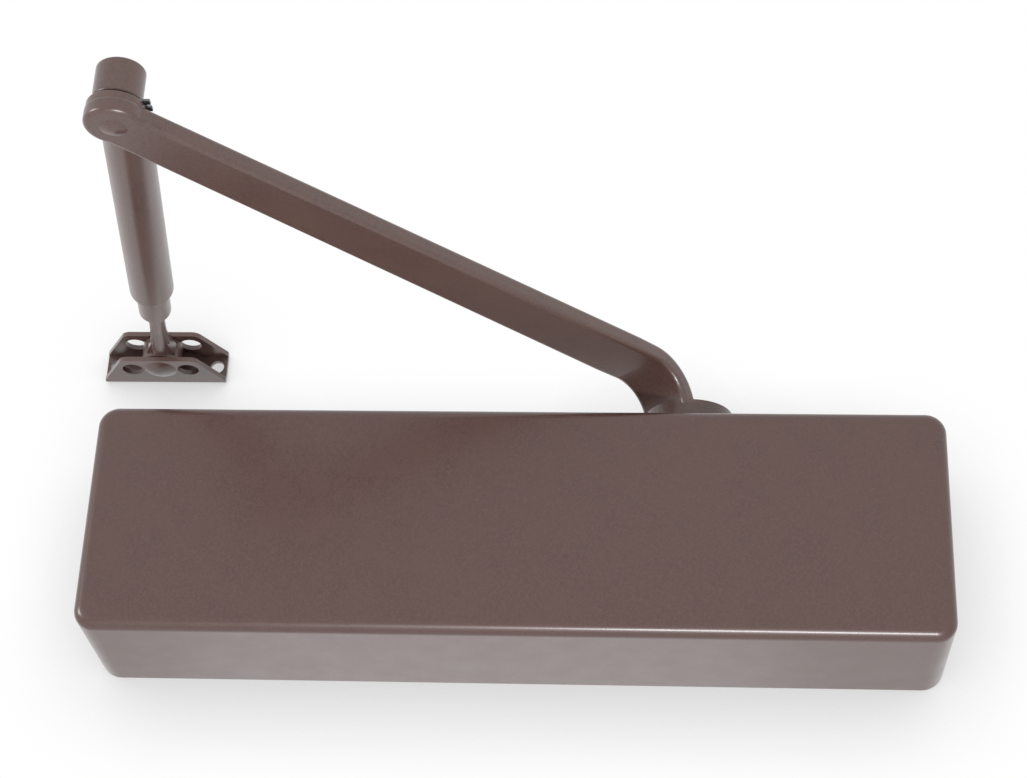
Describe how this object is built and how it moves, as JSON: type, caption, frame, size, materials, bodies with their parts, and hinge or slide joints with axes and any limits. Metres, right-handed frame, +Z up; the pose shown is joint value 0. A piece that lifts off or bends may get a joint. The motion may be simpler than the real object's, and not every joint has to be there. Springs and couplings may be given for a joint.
{
  "type": "door closer",
  "caption": "Surface-mounted hydraulic door closer: drafted box cover over a rack-and-pinion body, with a cranked main arm, telescoping forearm and channel foot bracket.",
  "frame": {"origin": "centre of the four body fixing holes on the casting's back face, which lies on the door", "axes": "+Z up along the spindle, -Y out of the door towards the viewer, +X along the cover to the spindle end"},
  "size_m": [0.3252, 0.216, 0.1403],
  "materials": {
    "bronze_cover": "satin dark bronze paint on a moulded cover",
    "bronze_paint": "satin dark bronze sprayed on steel",
    "cast_alloy": "cast alloy, lightly blasted",
    "machined_steel": "turned and ground",
    "bearing_steel": "polished",
    "spring_steel": "oiled blue-grey",
    "plated_steel": "zinc plated",
    "valve_brass": "turned",
    "bushing_bronze": "sintered",
    "seal_rubber": "matte"
  },
  "bodies": {
    "closer_body": {"body_casting": "cast_alloy", "cover": "bronze_cover", "cover_screws": "plated_steel", "spring_end_plug": "machined_steel", "fluid_end_plug": "machined_steel", "spring_end_seal": "seal_rubber", "fluid_end_seal": "seal_rubber", "upper_bearing_cup": "bearing_steel", "lower_bearing_cup": "bearing_steel", "upper_bearing_needles": "bearing_steel", "lower_bearing_needles": "bearing_steel", "upper_shaft_seal": "seal_rubber", "lower_shaft_seal": "seal_rubber", "upper_shaft_cap": "machined_steel", "lower_shaft_cap": "machined_steel", "closing_spring": "spring_steel"},
    "arm": {"pinion_shaft": "machined_steel", "main_arm": "bronze_paint", "arm_screw": "plated_steel", "arm_screw_washer": "plated_steel", "elbow_stud": "bronze_paint", "elbow_ring": "spring_steel"},
    "forearm": {"forearm_knuckle": "bronze_paint", "forearm_tube": "bronze_paint", "elbow_bushing": "bushing_bronze", "elbow_washer": "spring_steel", "elbow_cap": "bronze_paint"},
    "rod": {"forearm_rod": "bronze_paint"},
    "foot": {"foot_bracket": "bronze_paint", "foot_pivot_pin": "bronze_paint"},
    "piston": {"rack_piston": "machined_steel", "check_ball_retainer": "machined_steel"},
    "check_ball": {"check_ball": "bearing_steel"},
    "power_adjuster": {"power_adjuster": "plated_steel"},
    "spring_seat": {"spring_seat": "machined_steel"},
    "clamp_screw": {"clamp_screw": "plated_steel"},
    "sweep_valve": {"sweep_valve": "valve_brass"},
    "latch_valve": {"latch_valve": "valve_brass"},
    "backcheck_valve": {"backcheck_valve": "valve_brass"}
  },
  "joints": [
    {"name": "arm_swing", "type": "hinge", "parent": "closer_body", "child": "arm", "pos_m": [0.0553, -0.025, 0], "axis": [0, 0, 1], "range_deg": [-170, 0], "stiffness_Nm_per_rad": 2, "springref_deg": 57.3},
    {"name": "elbow_turn", "type": "hinge", "parent": "arm", "child": "forearm", "pos_m": [-0.126, -0.2063, 0.0717], "axis": [0, 0, 1], "continuous": true},
    {"name": "rod_slide", "type": "slide", "parent": "forearm", "child": "rod", "axis": [-0.1356, 0.9903, 0.0316], "range_m": [-0.014, 0.035]},
    {"name": "foot_swivel", "type": "hinge", "parent": "rod", "child": "foot", "pos_m": [-0.1526, -0.012, 0.0855], "axis": [0, 0, 1], "range_deg": [-90, 75]},
    {"name": "piston_slide", "type": "slide", "parent": "closer_body", "child": "piston", "axis": [1, 0, 0], "range_m": [-0.0223, 0], "deforming": ["closing_spring"]},
    {"name": "check_ball_lift", "type": "slide", "parent": "piston", "child": "check_ball", "axis": [1, 0, 0], "range_m": [0, 0.0008]},
    {"name": "power_adjuster_turn", "type": "hinge", "parent": "closer_body", "child": "power_adjuster", "pos_m": [-0.107, -0.027, 0], "axis": [1, 0, 0], "range_deg": [-1730, 3460]},
    {"name": "spring_seat_slide", "type": "slide", "parent": "closer_body", "child": "spring_seat", "axis": [1, 0, 0], "range_m": [-0.006, 0.012]},
    {"name": "clamp_screw_turn", "type": "hinge", "parent": "forearm", "child": "clamp_screw", "pos_m": [-0.1428, -0.08361, 0.09322], "axis": [0.0043, -0.0313, 0.9995], "range_deg": [-90, 720]},
    {"name": "sweep_valve_turn", "type": "hinge", "parent": "closer_body", "child": "sweep_valve", "pos_m": [0.093, -0.027, -0.0266], "axis": [0, 0, -1], "range_deg": [-180, 540]},
    {"name": "latch_valve_turn", "type": "hinge", "parent": "closer_body", "child": "latch_valve", "pos_m": [0.0805, -0.027, -0.0266], "axis": [0, 0, -1], "range_deg": [-180, 540]},
    {"name": "backcheck_valve_turn", "type": "hinge", "parent": "closer_body", "child": "backcheck_valve", "pos_m": [0.026, -0.027, -0.0266], "axis": [0, 0, -1], "range_deg": [-180, 540]}
  ],
  "couplings": [
    {"joint": "piston_slide", "follows": "arm_swing", "m_per_rad": 0.0075},
    {"joint": "power_adjuster_turn", "follows": "spring_seat_slide", "rad_per_m": 5026.5}
  ]
}
